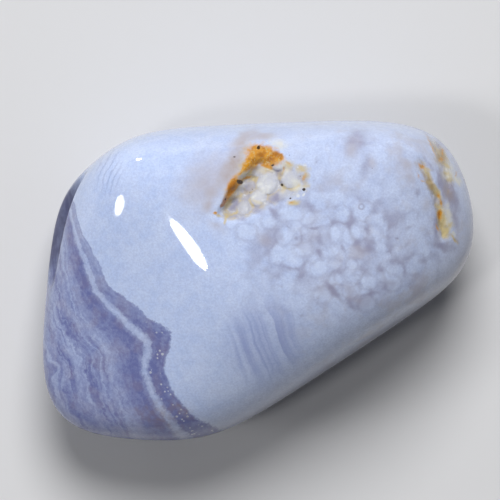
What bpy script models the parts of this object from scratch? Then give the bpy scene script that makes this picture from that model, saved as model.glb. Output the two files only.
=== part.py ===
"""A tumbled chalcedony pebble, 32 mm long, lying on its worn flat base.

The stone is one solid. Its skin is a set of flat facets, worn round as a tumbling drum
wears them, and then chipped: an open pocket lined with round lumps near the far edge,
three shallow hollows near the right end, and an undercut along the left side.
"""

import math

import bmesh
import bpy
import numpy as np
from mathutils import Vector

MM = 0.001

# The overall length and width that the finished stone is brought to, and the height of
# its middle above the base.
LENGTH = 32.0 * MM
WIDTH = 23.8 * MM
MIDDLE_HEIGHT = 7.4 * MM

# How round the tumbling left the edges: a longer wear gives a rounder stone.
WEAR = 1.0 * MM

# The facets: compass bearing of the way each one faces (degrees, 0 to the right and 90
# to the far side), tilt above the horizon (degrees) and distance from the middle (mm).
FACETS = {
    "crown": (55, 84, 8.5),
    "left shoulder": (208, 62, 8.8),
    "front shoulder": (283, 57, 8.4),
    "right shoulder": (-8, 50, 12.1),
    "far shoulder": (97, 48, 12.4),
    "far side": (92.5, 8, 11.8),
    "far right corner": (62, 12, 16.15),
    "far right end": (28, 12, 17.4),
    "right end": (2, 10, 17.1),
    "near right corner": (-24, 10, 14.8),
    "near right side": (-56.5, 8, 8.5),
    "near side": (-93, 8, 12.6),
    "near left corner": (-143, 4.8, 19.0),
    "left side": (171.3, 14.7, 14.7),
    "far left side": (162.7, 29, 15.35),
    "far left corner": (130, 0, 14.75),
    "belly left": (184, -42, 13.7),
    "belly near left": (-138, -38, 16.4),
    "belly near": (-96, -42, 11.0),
    "belly near right": (-56, -42, 8.5),
    "belly right": (4, -42, 13.6),
    "belly far": (92, -42, 10.4),
    "base": (0, -90, 7.5),
}

# The mesh: how often the ball is divided, how often again in the chips, and how often
# again on their walls, where an edge would drop by more than the steep drop.
BALL_DIVISIONS = 5
CHIP_DIVISIONS = 2
WALL_DIVISIONS = 3
STEEP_DROP = 0.2 * MM
SHORTEST_EDGE = 0.01 * MM
BALL_SHAPE = Vector((16, 12, 8))
SKIN_STEPS = 40

# A chip is a steep wall along a line in plan, from which the floor climbs back to the
# skin. Start and end of the wall, depth, wall width and the floor's reach at the start
# and the end, all in mm. The hollow lies to the right of the line.
CHIPS = {
    "pocket": ((-3.3, 4.9), (0.3, 10.1), 1.2, 1.1, 1.7, 6.4),
    "end hollow": ((13.4, 2.8), (12.5, 7.4), 0.5, 0.4, 1.5, 0.9),
    "end notch": ((12.6, 7.0), (11.6, 9.1), 0.35, 0.4, 0.9, 0.9),
    "corner hollow": ((13.9, 6.4), (12.5, 11.2), 0.45, 0.4, 1.2, 1.6),
}

# The round lumps on the pocket's floor: their place in plan and radius, in mm.
LUMPS = (
    (0.74, 7.18, 0.85),
    (0.04, 6.14, 0.65),
    (-1.00, 5.40, 0.55),
    (0.13, 8.10, 0.50),
    (2.40, 7.50, 0.72),
    (1.60, 8.70, 0.60),
    (2.00, 6.20, 0.60),
    (3.40, 7.90, 0.50),
    (1.00, 5.10, 0.60),
    (3.20, 6.50, 0.50),
    (-0.55, 7.00, 0.42),
)
LUMP_RISE = 0.3

# The undercut on the left side: a ledge with a steep wall under its edge, from which
# the side comes out again to a low lobe. Bearing, the edge's height above the base in
# the middle and its climb towards the far end, the wall's height, how far down the lobe
# is, the depth, and where along the side it lies.
UNDERCUT_BEARING = 168
UNDERCUT_EDGE = 8.85 * MM
UNDERCUT_CLIMB = 0.09
UNDERCUT_WALL = 1.1 * MM
UNDERCUT_DROP = 2.6 * MM
UNDERCUT_DEPTH = 1.0 * MM
UNDERCUT_MIDDLE = 0.8 * MM
UNDERCUT_HALF_LENGTH = 4.5 * MM

# Chalcedony: a pale blue-grey, polished.
STONE_COLOUR = (0.42, 0.49, 0.73, 1.0)
STONE_ROUGHNESS = 0.12


def facing(bearing, tilt):
    """The unit vector that points along a compass bearing, tilted above the horizon."""
    b, t = math.radians(bearing), math.radians(tilt)
    return np.array((math.cos(b) * math.cos(t), math.sin(b) * math.cos(t), math.sin(t)))


FACET_WAYS = np.array([facing(bearing, tilt) for bearing, tilt, _ in FACETS.values()])
FACET_REACH = np.array([distance * MM for _, _, distance in FACETS.values()])


def step_up(x, low, high):
    """Rises smoothly from 0 at low to 1 at high."""
    t = np.clip((x - low) / (high - low), 0.0, 1.0)
    return t * t * (3 - 2 * t)


def outside(points):
    """How far points lie outside the worn facets: below zero in the stone."""
    past = points @ FACET_WAYS.T - FACET_REACH
    most = past.max(axis=1)
    return most + WEAR * np.log(np.exp((past - most[:, None]) / WEAR).sum(axis=1))


def on_skin(points):
    """The points moved along their lines from the middle until they lie on the skin."""
    ways = points / np.linalg.norm(points, axis=1)[:, None]
    near, far = np.zeros(len(points)), np.full(len(points), LENGTH)
    for _ in range(SKIN_STEPS):
        half = (near + far) / 2
        inside = outside(ways * half[:, None]) < 0
        near, far = np.where(inside, half, near), np.where(inside, far, half)
    return ways * near[:, None]


def chip_depth(plan, chip):
    """How deep a chip goes at points in plan."""
    start, end, depth, wall, reach_start, reach_end = chip
    start, end = np.array(start) * MM, np.array(end) * MM
    length = np.linalg.norm(end - start)
    along = (end - start) / length
    into = np.array((along[1], -along[0]))
    share = (plan - start) @ along / length
    away = (plan - start) @ into
    reach = (reach_start + (reach_end - reach_start) * np.clip(share, 0, 1)) * MM
    ends = step_up(share, -0.02, 0.18) * (1 - step_up(share, 0.66, 1.08))
    floor = step_up(away, 0, wall * MM) * (1 - step_up(away / reach, 0.1, 1.0))
    return depth * MM * ends * floor


def lump_height(plan):
    """How high the lumps stand above the pocket's floor at points in plan."""
    height = np.zeros(len(plan))
    for x, y, radius in LUMPS:
        away = np.linalg.norm(plan - np.array((x, y)) * MM, axis=1) / (radius * MM)
        dome = np.sqrt(np.clip(1 - away * away, 0, None)) * radius * MM
        height = np.maximum(height, dome)
    return height * LUMP_RISE


def hollow_depth(points):
    """How far the skin of the upper side is sunk by the chips."""
    plan = points[:, :2]
    pocket = chip_depth(plan, CHIPS["pocket"])
    pocket = np.maximum(pocket - lump_height(plan) * step_up(pocket, 0, 0.4 * MM), 0)
    rest = [chip_depth(plan, chip) for name, chip in CHIPS.items() if name != "pocket"]
    return np.maximum.reduce([pocket, *rest]) * step_up(points[:, 2], 0, 2 * MM)


def undercut_depth(points):
    """How far the left side is cut in below its upper edge."""
    along = points @ facing(UNDERCUT_BEARING - 90, 0) - UNDERCUT_MIDDLE
    edge = UNDERCUT_EDGE + UNDERCUT_CLIMB * along
    below = edge - MIDDLE_HEIGHT - points[:, 2]
    stretch = np.clip(1 - (along / UNDERCUT_HALF_LENGTH) ** 2, 0, 1)
    wall = step_up(below, 0, UNDERCUT_WALL)
    drop = UNDERCUT_DROP * np.maximum(stretch, 0.2)
    lobe = 1 - step_up(below, UNDERCUT_WALL, UNDERCUT_WALL + drop)
    on_side = points @ facing(UNDERCUT_BEARING, 0) > 0
    return UNDERCUT_DEPTH * wall * lobe * stretch * on_side


def carved(points):
    """The skin's points with the chips and the undercut taken out."""
    points = points - undercut_depth(points)[:, None] * facing(UNDERCUT_BEARING, 0)
    points[:, 2] -= hollow_depth(points)
    return points


def in_chip(points):
    """True for the points of the upper side that a chip sinks."""
    depth = np.max([chip_depth(points[:, :2], chip) for chip in CHIPS.values()], axis=0)
    return (depth > 0) & (points[:, 2] > 0)


def coordinates(mesh):
    return np.array([vert.co for vert in mesh.verts])


def place(mesh, points):
    for vert, point in zip(mesh.verts, points):
        vert.co = point


def split(mesh, edges):
    """Splits edges in half, and puts the new corners on the skin."""
    bmesh.ops.subdivide_edges(mesh, edges=edges, cuts=1, use_grid_fill=True)
    bmesh.ops.triangulate(mesh, faces=mesh.faces[:])
    place(mesh, on_skin(coordinates(mesh)))
    mesh.verts.index_update()


def refine_hollows(mesh):
    """Makes the faces finer in the chips, and finer again where they are steep."""
    for _ in range(CHIP_DIVISIONS):
        fine = in_chip(coordinates(mesh))
        faces = [f for f in mesh.faces if any(fine[v.index] for v in f.verts)]
        split(mesh, list({edge for face in faces for edge in face.edges}))
    for _ in range(WALL_DIVISIONS):
        points = coordinates(mesh)
        depth = np.maximum(hollow_depth(points), undercut_depth(points))
        drops = [(e, abs(depth[e.verts[0].index] - depth[e.verts[1].index])) for e in mesh.edges]
        split(mesh, [edge for edge, drop in drops if drop > STEEP_DROP])


def cut_base(mesh):
    """Cuts the stone off flat where it rests, and closes the cut."""
    cut = bmesh.ops.bisect_plane(
        mesh,
        geom=mesh.verts[:] + mesh.edges[:] + mesh.faces[:],
        dist=SHORTEST_EDGE / 10,
        plane_co=(0, 0, -MIDDLE_HEIGHT),
        plane_no=(0, 0, -1),
        clear_outer=True,
    )
    rim = [item for item in cut["geom_cut"] if isinstance(item, bmesh.types.BMEdge)]
    bmesh.ops.contextual_create(mesh, geom=rim)
    bmesh.ops.dissolve_degenerate(mesh, dist=SHORTEST_EDGE, edges=mesh.edges[:])


def fit_to_size(mesh):
    """Puts the origin on the base, under the middle of the box, and fits the size."""
    points = coordinates(mesh)
    low, high = points.min(axis=0), points.max(axis=0)
    middle = Vector(((low[0] + high[0]) / 2, (low[1] + high[1]) / 2, low[2]))
    bmesh.ops.translate(mesh, verts=mesh.verts, vec=-middle)
    size = high - low
    bmesh.ops.scale(mesh, verts=mesh.verts, vec=(LENGTH / size[0], WIDTH / size[1], 1))


def stone_material():
    material = bpy.data.materials.new("polished_chalcedony")
    material.use_nodes = True
    surface = material.node_tree.nodes["Principled BSDF"]
    surface.inputs["Base Color"].default_value = STONE_COLOUR
    surface.inputs["Roughness"].default_value = STONE_ROUGHNESS
    surface.inputs["Metallic"].default_value = 0.0
    return material


def make_stone(collection):
    bpy.ops.mesh.primitive_ico_sphere_add(subdivisions=BALL_DIVISIONS, radius=MM)
    stone = bpy.context.active_object
    stone.name = stone.data.name = "stone"
    for owner in stone.users_collection:
        owner.objects.unlink(stone)
    collection.objects.link(stone)

    mesh = bmesh.new()
    mesh.from_mesh(stone.data)
    bmesh.ops.scale(mesh, verts=mesh.verts, vec=BALL_SHAPE)
    place(mesh, on_skin(coordinates(mesh)))
    refine_hollows(mesh)
    place(mesh, carved(coordinates(mesh)))
    cut_base(mesh)
    fit_to_size(mesh)
    bmesh.ops.recalc_face_normals(mesh, faces=mesh.faces)
    mesh.to_mesh(stone.data)
    mesh.free()

    stone.data.shade_smooth()
    stone.data.set_sharp_from_angle(angle=math.radians(40))
    stone.data.materials.append(stone_material())


def main():
    for obj in list(bpy.data.objects):
        bpy.data.objects.remove(obj)
    collection = bpy.data.collections.new("chalcedony")
    bpy.context.scene.collection.children.link(collection)
    make_stone(collection)


main()
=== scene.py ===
"""A tumbled and polished chalcedony pebble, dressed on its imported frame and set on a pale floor.

The stone is one piece. Its skin is worked out from the worn facets that the solid has, more
finely, and the chips, lumps and undercut are cut into it. The markings are laid over it as
masks on the skin: violet bands at one end, grey gaps between pale round cells, an ochre crust.
"""

import math

import bmesh
import bpy
import numpy as np
from bpy.props import FloatProperty, FloatVectorProperty, PointerProperty
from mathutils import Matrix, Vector, noise


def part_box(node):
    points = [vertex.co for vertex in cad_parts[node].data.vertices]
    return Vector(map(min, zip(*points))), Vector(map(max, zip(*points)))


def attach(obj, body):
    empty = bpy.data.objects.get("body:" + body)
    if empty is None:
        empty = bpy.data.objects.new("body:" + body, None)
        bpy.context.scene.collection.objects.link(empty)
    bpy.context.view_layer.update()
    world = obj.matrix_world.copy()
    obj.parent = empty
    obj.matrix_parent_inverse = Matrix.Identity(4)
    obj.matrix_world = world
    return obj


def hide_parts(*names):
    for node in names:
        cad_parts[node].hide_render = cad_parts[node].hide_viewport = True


bl_info = {
    "name": "Chalcedony pebble",
    "version": (1, 0, 0),
    "blender": (4, 5, 0),
    "location": "3D View > Sidebar > Chalcedony",
    "description": "Makes a tumbled, polished chalcedony pebble and its studio stage",
    "category": "Object",
}

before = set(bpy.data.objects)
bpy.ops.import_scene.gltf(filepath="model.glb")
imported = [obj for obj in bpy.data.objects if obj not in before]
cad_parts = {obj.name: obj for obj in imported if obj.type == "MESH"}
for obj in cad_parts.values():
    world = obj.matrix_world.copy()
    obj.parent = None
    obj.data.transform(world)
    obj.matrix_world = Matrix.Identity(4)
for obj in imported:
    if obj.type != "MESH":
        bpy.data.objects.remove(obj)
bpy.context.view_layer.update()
STONE_LOW, STONE_HIGH = (np.array(corner) * 1000 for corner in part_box("stone"))

# Shapes are worked out in millimetres and become metres when the mesh is written.
MM = 0.001

# The facets: bearing of the way each one faces (degrees, 0 to the right and 90 to the far
# side), tilt above the horizon (degrees) and distance from the middle (mm).
FACETS = {
    "crown": (55, 84, 8.5),
    "left shoulder": (208, 62, 8.8),
    "front shoulder": (283, 57, 8.4),
    "right shoulder": (-8, 50, 12.1),
    "far shoulder": (97, 48, 12.4),
    "far side": (92.5, 8, 11.8),
    "far right corner": (62, 12, 16.15),
    "far right end": (28, 12, 17.4),
    "right end": (2, 10, 17.1),
    "near right corner": (-24, 10, 14.8),
    "near right side": (-56.5, 8, 8.5),
    "near side": (-93, 8, 12.6),
    "near left corner": (-143, 4.8, 19.0),
    "left side": (171.3, 14.7, 14.7),
    "far left side": (162.7, 29, 15.35),
    "far left corner": (130, 0, 14.75),
    "belly left": (184, -42, 13.7),
    "belly near left": (-138, -38, 16.4),
    "belly near": (-96, -42, 11.0),
    "belly near right": (-56, -42, 8.5),
    "belly right": (4, -42, 13.6),
    "belly far": (92, -42, 10.4),
    "base": (0, -90, 7.5),
}

# The ball that the skin starts from, the height of its middle above the base, and how
# often it is divided. The marked parts are divided once more, and the chips twice.
BALL_SHAPE = np.array((16.0, 12.0, 8.0))
MIDDLE_HEIGHT = 7.4
BALL_DIVISIONS = 7
SKIN_STEPS = 36

# The random waves that move the outlines of the marks about: their size and how far they
# move them (mm), and a number that sets each kind apart.
RAGGED = {
    "chips": (0.8, 0.16, 3),
    "bands": (0.9, 0.13, 11),
    "cells": (0.9, 0.2, 23),
    "crisp strokes": (0.5, 0.07, 31),
    "soft strokes": (0.9, 0.22, 37),
}
SEED_STEP = 7.31

# A chip is a steep wall along a line in plan, from which the floor climbs back to the
# skin. Start and end of the wall, share of the pocket's depth, wall width and the floor's
# reach at the start and the end. The hollow lies to the right of the line. Its depth
# rises and falls along the line, and its floor climbs, over the shares given below.
CHIPS = {
    "pocket": ((-3.3, 4.9), (0.3, 10.1), 1.0, 1.1, 1.7, 6.4),
    "end hollow": ((13.4, 2.8), (12.5, 7.4), 0.42, 0.4, 1.5, 0.9),
    "end notch": ((12.6, 7.0), (11.6, 9.1), 0.29, 0.4, 0.9, 0.9),
    "corner hollow": ((13.9, 6.4), (12.5, 11.2), 0.38, 0.4, 1.2, 1.6),
}
CHIP_RISES = (-0.02, 0.18)
CHIP_FALLS = (0.66, 1.08)
FLOOR_CLIMBS = (0.1, 1.0)
CRUST_GRAIN = 0.09
CRUST_GRAIN_SIZE = 0.42
CRUST_GRAIN_SEED = 5

# The heights over which the chips appear, and the depths for the lumps and the grain.
CHIPPED_SIDE = (0, 2)
LUMPS_RISE = (0, 0.4)
GRAIN_BEGINS = (0.05, 0.4)
CHIP_SHOWS = 0.03

# The round lumps on the pocket's floor: their place in plan and radius.
LUMPS = (
    (0.74, 7.18, 0.85), (0.04, 6.14, 0.65), (-1.0, 5.4, 0.55), (0.13, 8.1, 0.5),
    (2.4, 7.5, 0.72), (1.6, 8.7, 0.6), (2.0, 6.2, 0.6), (3.4, 7.9, 0.5),
    (1.0, 5.1, 0.6), (3.2, 6.5, 0.5), (-0.55, 7.0, 0.42),
)
LUMP_RISE = 0.3

# The undercut along the left side: bearing, the edge's height above the base in the middle
# and its climb, the wall's height, the lobe's drop, and where along the side it lies.
UNDERCUT_BEARING = 168
UNDERCUT_EDGE = 8.85
UNDERCUT_CLIMB = 0.09
UNDERCUT_WALL = 1.1
UNDERCUT_DROP = 2.6
UNDERCUT_MIDDLE = 0.8
UNDERCUT_HALF_LENGTH = 4.5
LEAST_DROP = 0.2
LEDGE_SHOWS = 0.15

# The painted shade below the undercut's edge, a near-black colour that also dulls the polish,
# is a squarish oval with an uneven rim: how far it runs along the side and down it, and where it
# begins and fades.
SHADE_HALF_LENGTH = 4.9
SHADE_REACH = 4.3
SHADE_MIDDLE = 1
SHADE_SQUARENESS = 3
SHADE_BEGINS = (0.15, 0.6)
SHADE_FADES = (0.4, 1.15)
SHADE_RAGGED = 0.16
SHADE_RAGGED_SIZE = 1.7
SHADE_SEED = 41

# The two lines between which the violet bands fan out, in plan, from the far side to the
# near side. Below the widest level the bands lean inwards as they go down.
BAND_START = (
    (-14.3, 7.6), (-13.5, 5.2), (-12.9, 3.3), (-11.9, 1.5), (-11.1, -0.3), (-10.1, -1.1),
    (-8.4, -2.5), (-7.2, -3.3), (-6.4, -3.95), (-6.6, -4.8), (-6.8, -5.6), (-7.0, -6.6),
    (-6.6, -7.7), (-5.9, -8.9), (-4.6, -10.2), (-2.8, -11.2), (-1.5, -12.4),
)
BAND_END = (
    (-15.0, 8.0), (-15.3, 3.8), (-15.5, 1.5), (-15.2, -1.0), (-14.7, -3.0), (-13.9, -4.6),
    (-13.1, -5.6), (-12.9, -6.8), (-12.6, -8.6), (-11.8, -10.3), (-11.0, -12.2),
)
NARROWEST_FAN = 0.8
BAND_LEAN = 0.35
WIDEST_LEVEL = 5.0

# Marks on the skin: place in plan, half length, half width, bearing and strength.
# Brown stains; the thin strokes along the right end's steps and the one in its hollow also paint
# shade there.
BROWN_AND_STEP_SHADE = (
    (-7.3, -10.0, 1.7, 1.0, -20, 0.42), (-5.6, -9.6, 1.2, 0.5, -42, 0.4),
    (-0.6, 6.8, 0.6, 0.4, 50, 0.45), (1.64, 7.78, 0.3, 0.25, 60, 0.35),
    (13.1, 6.5, 1.5, 0.3, -62, 0.45), (13.6, 4.6, 0.9, 0.35, -80, 0.32),
    (-1.71, 8.82, 1.79, 0.45, 58, 0.45), (-2.01, 6.29, 0.89, 0.3, 60, 0.8),
    (12.65, 7.11, 0.67, 0.28, -62, 1), (-0.6, 8.37, 0.74, 0.37, -20, 0.6),
    (3.35, 7.63, 0.6, 0.45, 70, 0.5), (12.35, 7.63, 1.04, 0.13, -60, 0.7),
    (13.32, 4.35, 1.04, 0.12, -88, 0.6), (13.02, 9.79, 1.19, 0.12, -64, 0.75),
    (13.47, 9.12, 0.52, 0.4, -70, 1), (14.07, 6.44, 0.7, 0.4, -65, 0.55),
    (14.66, 2.94, 0.37, 0.12, -50, 0.6), (11.83, 8.52, 0.45, 0.3, -50, 0.5),
)
OCHRE = (
    (-1.93, 6.96, 0.89, 0.3, 64, 0.8), (0.3, 9.34, 0.97, 0.6, -10, 1),
    (-0.3, 8.97, 0.67, 0.45, 60, 0.9), (1.19, 9.12, 0.6, 0.45, -20, 0.9),
    (0.74, 8.89, 0.6, 0.37, -15, 1), (0.0, 9.49, 0.37, 0.37, 60, 0.95),
    (-0.82, 8.45, 0.37, 0.3, 60, 0.8), (0.39, 9.21, 0.71, 0.48, -10, 1),
    (-0.47, 8.97, 0.71, 0.31, 60, 1), (1.45, 9.09, 0.37, 0.37, 0, 0.9),
    (0.65, 8.47, 0.37, 0.18, -20, 0.85), (-1.17, 8.15, 0.45, 0.12, 60, 0.7),
    (-0.84, 7.61, 0.37, 0.1, 20, 0.65), (-1.53, 7.29, 0.37, 0.25, 10, 0.85),
    (-1.71, 6.86, 0.41, 0.15, 62, 0.9), (2.25, 8.66, 0.3, 0.12, -30, 0.45),
    (1.88, 8.28, 0.12, 0.3, 0, 0.45), (3.37, 7.61, 0.37, 0.15, 60, 0.45),
    (2.51, 5.75, 0.3, 0.1, 10, 0.5), (-3.14, 5.0, 0.19, 0.11, 0, 0.7),
    (13.54, 8.97, 0.3, 0.24, 30, 0.4), (13.66, 9.56, 0.33, 0.1, 85, 0.5),
    (12.84, 9.94, 0.93, 0.07, -66, 0.55), (14.66, 7.93, 0.33, 0.09, 72, 0.4),
    (12.06, 8.45, 0.28, 0.15, -30, 0.7), (11.78, 7.78, 0.33, 0.09, -70, 0.35),
    (12.13, 7.37, 0.22, 0.08, -30, 0.5), (13.28, 6.29, 0.22, 0.13, -60, 0.5),
    (13.47, 5.77, 0.26, 0.1, -80, 0.5), (13.4, 4.87, 0.33, 0.19, 90, 0.75),
    (13.21, 3.91, 0.52, 0.08, -72, 0.45),
)
RUST = (
    (-1.97, 6.81, 0.67, 0.22, 66, 1), (-2.49, 5.84, 0.45, 0.16, 60, 0.9),
    (1.41, 9.34, 0.37, 0.3, -20, 0.8), (0.15, 9.28, 0.31, 0.21, 0, 0.75),
    (0.95, 8.97, 0.37, 0.19, -15, 0.8), (1.45, 9.4, 0.27, 0.13, 20, 0.7),
    (-1.99, 6.85, 0.56, 0.14, 68, 1), (-2.05, 6.61, 0.25, 0.13, 60, 1),
    (-2.4, 5.99, 0.22, 0.09, 60, 0.9), (-2.68, 5.56, 0.21, 0.12, 60, 0.95),
    (12.02, 8.48, 0.15, 0.09, 0, 0.6), (13.36, 4.91, 0.19, 0.1, 90, 0.7),
    (13.51, 8.93, 0.15, 0.15, 0, 0.35),
)
YELLOW = (
    (-0.89, 8.45, 1.12, 0.45, 58, 0.75), (13.54, 4.73, 0.89, 0.26, -75, 0.9),
    (12.35, 8.0, 0.52, 0.22, -50, 0.6), (13.1, 6.74, 0.74, 0.18, -58, 0.9),
    (0.3, 8.15, 0.67, 0.3, -10, 0.6), (1.86, 6.74, 0.22, 0.37, 0, 0.6),
    (13.62, 9.41, 0.45, 0.22, -60, 0.6), (3.57, 7.03, 0.45, 0.3, 80, 0.6),
    (3.19, 8.28, 0.52, 0.3, -10, 0.8), (3.5, 7.7, 0.45, 0.3, 70, 0.7),
    (2.23, 8.52, 0.45, 0.37, -30, 0.75), (-2.4, 4.44, 0.37, 0.1, 80, 0.8),
    (-2.89, 4.81, 0.22, 0.12, -20, 0.7), (2.6, 5.73, 0.45, 0.19, 8, 0.9),
    (12.5, 8.22, 0.33, 0.12, -20, 0.7), (12.75, 7.03, 0.6, 0.2, -58, 0.95),
    (1.64, 7.78, 0.37, 0.26, 60, 0.55), (-0.75, 7.85, 0.6, 0.3, 60, 0.5),
    (13.77, 3.76, 0.74, 0.3, -75, 0.78), (13.51, 4.39, 0.33, 0.16, -85, 0.85),
    (14.21, 4.13, 0.3, 0.22, 0, 0.6), (14.51, 3.09, 0.41, 0.09, -60, 0.9),
    (13.84, 7.93, 0.3, 0.22, -60, 0.5), (14.14, 7.48, 0.3, 0.22, 0, 0.55),
    (0.6, 8.22, 0.52, 0.15, -5, 0.8), (-0.07, 5.84, 0.52, 0.16, -25, 0.7),
    (13.32, 6.51, 0.37, 0.15, -60, 0.7),
)
CREAM = (
    (-0.89, 9.56, 0.89, 0.37, 60, 0.4), (14.07, 8.37, 0.89, 0.45, -60, 0.6),
    (-1.79, 6.74, 1.49, 0.52, 58, 0.6), (13.62, 8.97, 1.04, 0.45, -62, 0.5),
    (13.25, 9.71, 0.89, 0.33, -66, 0.55), (14.14, 7.78, 0.6, 0.45, -60, 0.7),
    (13.84, 4.35, 0.82, 0.45, -78, 0.8), (2.83, 7.03, 0.37, 0.45, 60, 0.8),
    (0.3, 6.74, 0.89, 0.6, 30, 0.45), (1.51, 10.08, 0.67, 0.33, -15, 0.6),
    (12.95, 10.08, 0.86, 0.25, -66, 0.35), (13.28, 9.56, 0.45, 0.22, -60, 0.6),
    (14.74, 7.48, 0.37, 0.19, -70, 0.7), (13.99, 4.87, 0.48, 0.3, -80, 0.75),
    (13.92, 5.47, 0.37, 0.22, -70, 0.5), (14.44, 3.46, 0.22, 0.15, 0, 0.7),
    (2.08, 8.15, 0.3, 0.22, 0, 0.6), (2.9, 8.07, 0.3, 0.22, 0, 0.4),
)
# Grey patches in the pocket are the stone's own; the strokes at the right end paint shade in its
# hollows.
GREY_AND_HOLLOW_SHADE = (
    (13.4, 10.0, 0.7, 0.35, -66, 0.6), (14.07, 6.74, 1.64, 0.45, -68, 1),
    (14.44, 4.8, 1.04, 0.3, -75, 0.7), (13.1, 4.06, 1.34, 0.3, -85, 0.7),
    (13.62, 2.57, 0.89, 0.37, -15, 0.7), (12.65, 8.6, 0.89, 0.26, -60, 0.5),
    (11.68, 6.59, 0.37, 0.3, 80, 0.5), (-0.89, 7.78, 0.45, 0.3, 60, 0.3),
    (-0.6, 6.88, 0.6, 0.37, 40, 0.7), (1.47, 7.96, 0.37, 0.26, -20, 0.7),
    (1.34, 6.07, 0.67, 0.37, 10, 0.7), (2.9, 6.74, 0.37, 0.3, 0, 0.5),
    (-1.71, 5.62, 0.67, 0.26, 55, 0.7), (0.0, 5.17, 0.6, 0.3, 0, 0.6),
    (1.12, 5.02, 0.67, 0.26, -50, 0.6), (-1.19, 4.5, 0.45, 0.22, -10, 0.5),
    (14.07, 6.44, 0.67, 0.41, -65, 0.85), (13.84, 7.11, 0.45, 0.22, -60, 0.5),
    (3.68, 5.54, 0.45, 0.22, -20, 0.5),
)
GAPS = (
    (5.36, 0.41, 0.3, 0.11, 60, 0.5), (6.33, 0.93, 0.37, 0.11, 80, 0.5),
    (3.94, 1.38, 0.45, 0.13, -30, 0.4), (8.78, 0.93, 0.37, 0.15, 60, 0.5),
    (10.94, 2.64, 0.45, 0.15, 30, 0.4), (9.08, -0.71, 0.37, 0.15, 60, 0.4),
    (3.13, 1.82, 0.37, 0.11, 10, 0.35), (0.89, 2.57, 0.37, 0.15, 20, 0.4),
    (6.4, -1.45, 0.37, 0.11, 40, 0.5), (4.12, 3.94, 0.45, 0.1, 8, 0.9),
    (2.88, 3.1, 0.19, 0.13, 30, 0.8), (2.2, 3.91, 0.45, 0.1, -40, 0.5),
    (0.45, 3.01, 0.67, 0.37, -50, 0.5), (4.39, 1.97, 0.52, 0.15, -58, 0.75),
    (6.21, 2.38, 0.48, 0.15, -75, 0.75), (7.85, 3.61, 0.48, 0.15, -70, 0.8),
    (8.26, 2.49, 0.67, 0.33, -60, 0.75), (7.22, 0.37, 0.45, 0.19, -5, 0.5),
    (7.89, 0.78, 0.6, 0.37, -70, 0.5), (10.01, 1.45, 0.67, 0.41, 15, 0.65),
    (5.54, -0.82, 0.97, 0.21, -43, 0.95), (6.85, -1.79, 0.48, 0.21, -35, 0.7),
    (8.22, -1.0, 0.71, 0.16, 5, 0.6), (7.48, -0.48, 0.33, 0.09, 90, 0.5),
    (9.23, 4.8, 0.48, 0.22, 90, 0.45), (11.76, 6.36, 0.26, 0.19, 70, 0.5),
    (1.71, -0.52, 0.3, 0.07, -40, 0.5), (2.68, -0.86, 0.37, 0.07, -10, 0.4),
    (4.45, -1.21, 0.12, 0.12, 0, 0.6), (3.2, -2.53, 0.19, 0.1, 20, 0.5),
    (4.39, -2.94, 0.37, 0.07, -10, 0.4), (10.26, 3.24, 0.12, 0.09, 0, 0.9),
    (10.46, 3.65, 0.33, 0.07, 50, 0.45), (11.09, 3.98, 0.37, 0.06, 30, 0.4),
    (12.09, 1.41, 0.3, 0.22, 30, 0.5), (13.1, 2.87, 0.6, 0.26, -5, 0.5),
    (13.99, 2.79, 0.3, 0.19, 0, 0.4), (4.18, 8.82, 0.37, 0.08, 80, 0.6),
    (4.17, 7.48, 0.22, 0.09, 70, 0.5), (13.4, 7.63, 0.89, 0.1, -72, 0.5),
    (13.99, 5.99, 0.67, 0.12, -62, 0.5), (7.3, 10.35, 1.0, 0.75, 20, 0.75),
    (7.95, 8.6, 0.9, 0.4, 80, 0.65), (11.24, 9.49, 0.26, 0.22, 0, 0.3),
    (10.12, 8.74, 0.3, 0.22, 0, 0.3), (7.0, 6.74, 0.3, 0.11, 0, 0.3),
)
HAZE = (
    (-3.42, 6.59, 0.89, 0.67, 58, 0.8), (-3.94, 7.33, 2.38, 1.49, 58, 0.6),
    (-1.12, 9.71, 0.97, 0.52, 58, 0.7), (-2.08, 8.15, 1.79, 0.82, 58, 1),
    (-1.19, 10.38, 1.04, 0.45, 35, 0.9), (0.3, 10.68, 1.04, 0.3, 5, 0.8),
    (-3.72, 5.62, 0.74, 0.45, 60, 0.8), (-3.2, 4.06, 0.74, 0.3, -30, 0.5),
    (6.85, 9.71, 0.74, 0.6, 80, 0.5), (10.2, 9.71, 0.6, 0.37, 0, 0.4),
    (10.94, 8.6, 0.45, 0.74, 60, 0.5), (-0.3, 10.64, 1.04, 0.37, 5, 0.7),
    (0.37, 3.09, 0.89, 0.52, -40, 0.4), (8.48, 8.67, 0.6, 0.37, 90, 0.5),
    (11.16, 7.78, 0.6, 0.37, -60, 0.4), (12.43, 5.54, 0.6, 0.37, -80, 0.4),
)
SPECKS = (
    (0.02, 9.84, 0.17, 0.1, 60, 1), (-1.34, 7.29, 0.24, 0.15, -20, 1),
    (-1.71, 9.09, 0.11, 0.08, 60, 0.7), (1.08, 8.54, 0.14, 0.08, 10, 0.8),
    (1.76, 7.05, 0.11, 0.1, 0, 1), (3.37, 6.74, 0.11, 0.1, 0, 1),
    (2.29, 9.28, 0.08, 0.08, 0, 0.6), (2.38, 6.08, 0.08, 0.08, 0, 0.8),
    (3.87, 5.31, 0.1, 0.07, 0, 0.6), (-2.4, 5.99, 0.11, 0.07, 60, 0.8),
    (-0.41, 6.76, 0.07, 0.07, 0, 0.6), (-0.6, 6.51, 0.07, 0.07, 0, 0.6),
    (8.39, 8.32, 0.07, 0.07, 0, 0.6), (8.63, 8.52, 0.07, 0.07, 0, 0.6),
    (3.13, 7.72, 0.07, 0.07, 0, 0.6),
)
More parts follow.
